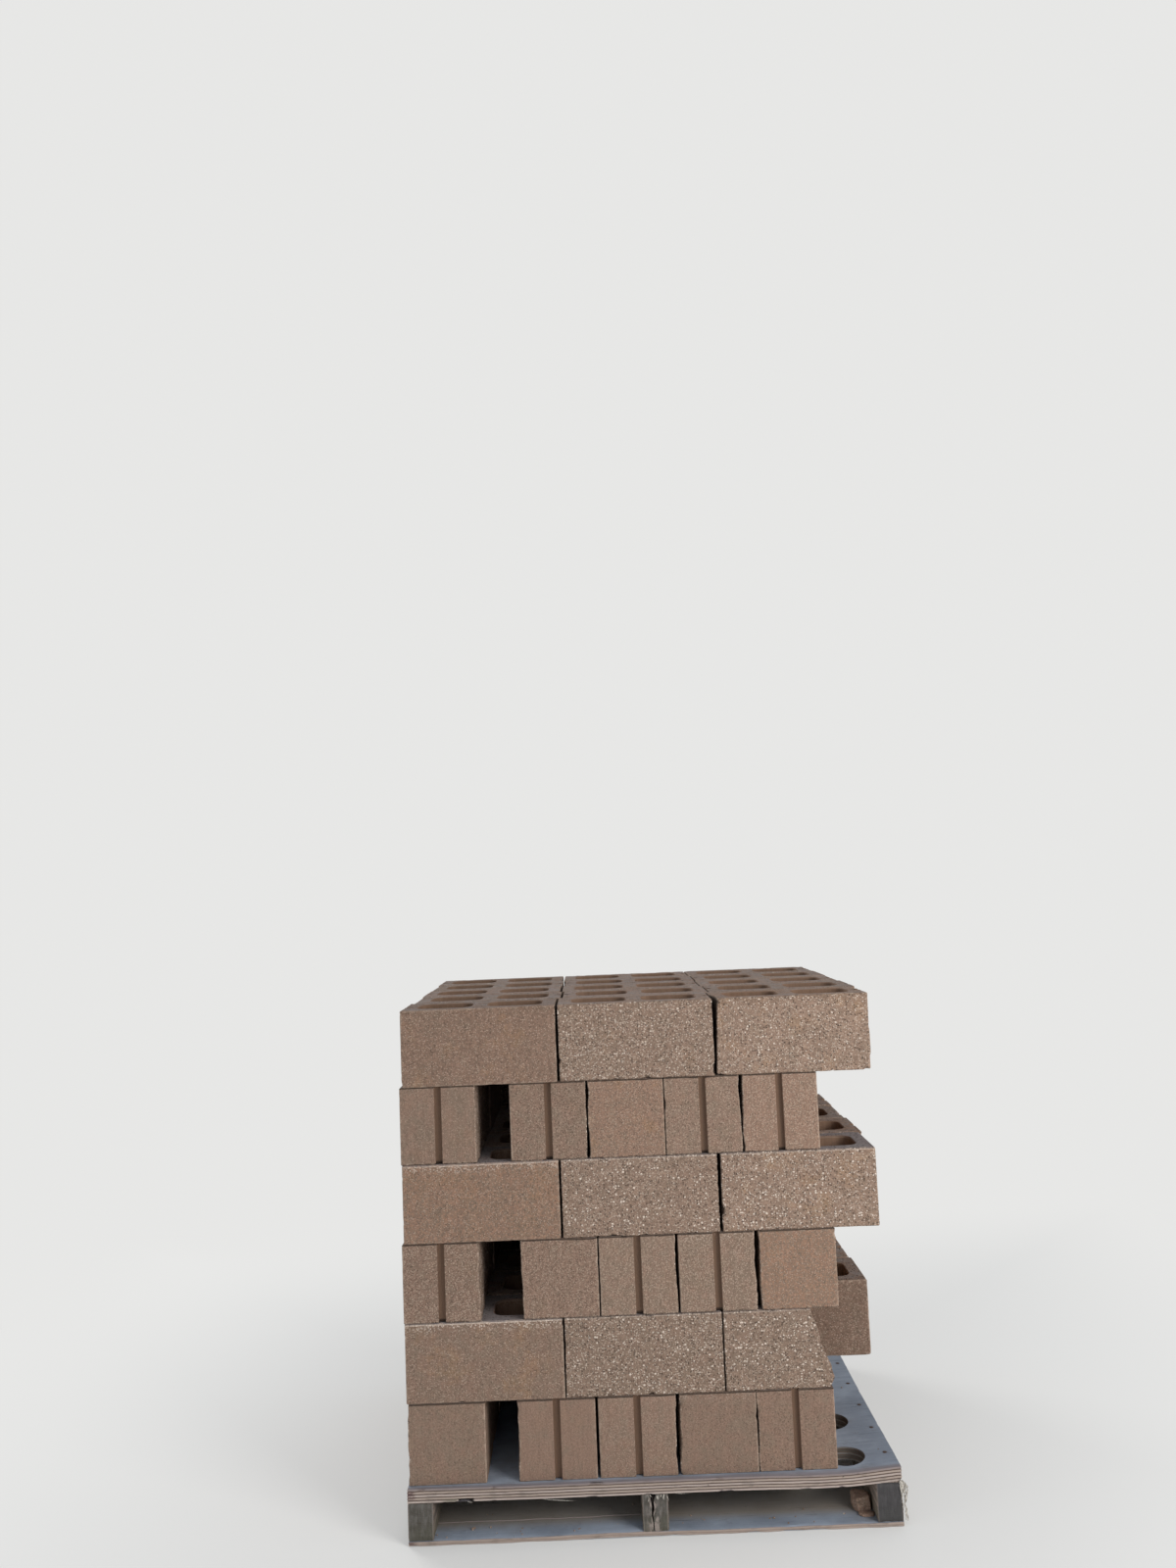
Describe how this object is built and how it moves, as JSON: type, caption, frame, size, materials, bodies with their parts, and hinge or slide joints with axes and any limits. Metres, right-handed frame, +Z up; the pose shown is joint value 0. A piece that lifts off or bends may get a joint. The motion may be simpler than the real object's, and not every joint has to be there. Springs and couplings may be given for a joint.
{
  "type": "pallet of split-face concrete blocks",
  "caption": "Cube of hollow split-face concrete blocks in alternating header and stretcher courses on a low wooden pallet with a drilled plywood deck.",
  "frame": {"origin": "on the floor, below the middle of the pallet", "axes": "+X to the right along the front, front towards -Y, +Z up"},
  "size_m": [1.219, 1.016, 1.297],
  "materials": {
    "concrete": "matt tan concrete, smooth on moulded faces and rough with pale aggregate on split faces",
    "plywood": "weathered grey plywood, plies showing at the edges",
    "bearer_wood": "weathered grey-green sawn softwood, split at the ends",
    "board_wood": "weathered plywood strip, blue-grey on top and brown at the edges"
  },
  "bodies": {
    "root": {"block_fragment": "concrete", "bottom_board_back": "board_wood", "bottom_board_front": "board_wood", "bottom_board_middle": "board_wood", "broken_block": "concrete", "course_1_row_1": "concrete", "course_1_row_2": "concrete", "course_1_row_3": "concrete", "course_2_row_1": "concrete", "course_2_row_2": "concrete", "course_2_row_3": "concrete", "course_2_row_4": "concrete", "course_2_row_5": "concrete", "course_3_row_1": "concrete", "course_3_row_2": "concrete", "course_3_row_3": "concrete", "course_4_row_1": "concrete", "course_4_row_2": "concrete", "course_4_row_3": "concrete", "course_4_row_4": "concrete", "course_4_row_5": "concrete", "course_5_row_1": "concrete", "course_5_row_2": "concrete", "course_5_row_3": "concrete", "course_6_row_1": "concrete", "course_6_row_2": "concrete", "course_6_row_3": "concrete", "course_6_row_4": "concrete", "course_6_row_5": "concrete", "deck": "plywood", "stringer_centre": "bearer_wood", "stringer_left": "bearer_wood", "stringer_right": "bearer_wood"}
  },
  "joints": []
}
